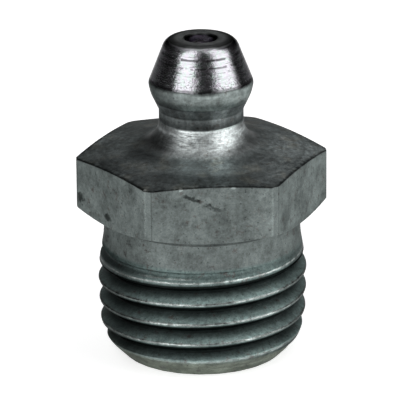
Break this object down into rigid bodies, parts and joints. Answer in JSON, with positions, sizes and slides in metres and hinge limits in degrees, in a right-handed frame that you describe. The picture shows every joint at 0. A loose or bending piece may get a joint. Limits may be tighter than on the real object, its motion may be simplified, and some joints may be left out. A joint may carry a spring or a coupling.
{
  "type": "grease nipple",
  "caption": "Straight hydraulic grease nipple: hexagon body with a conical coupler head, a tapered pipe thread and a spring-loaded check ball.",
  "frame": {"origin": "middle of the threaded end's flat face, which the nipple stands on", "axes": "+Z along the nipple's axis from the threaded end to the crown; two flats of the hexagon face +Y and -Y, and one corner points along +X"},
  "size_m": [0.0158, 0.0138, 0.0205],
  "materials": {
    "zinc_plated_steel": "satin",
    "hardened_steel": "polished",
    "spring_steel": "satin"
  },
  "bodies": {
    "nipple": {"nipple_body": "zinc_plated_steel", "ball_spring": "spring_steel"},
    "ball": {"check_ball": "hardened_steel"}
  },
  "joints": [
    {"name": "ball_lift", "type": "slide", "parent": "nipple", "child": "ball", "axis": [0, 0, -1], "range_m": [0, 0.0034], "stiffness_N_per_m": 1100, "springref_m": -0.002, "deforming": ["ball_spring"]}
  ]
}
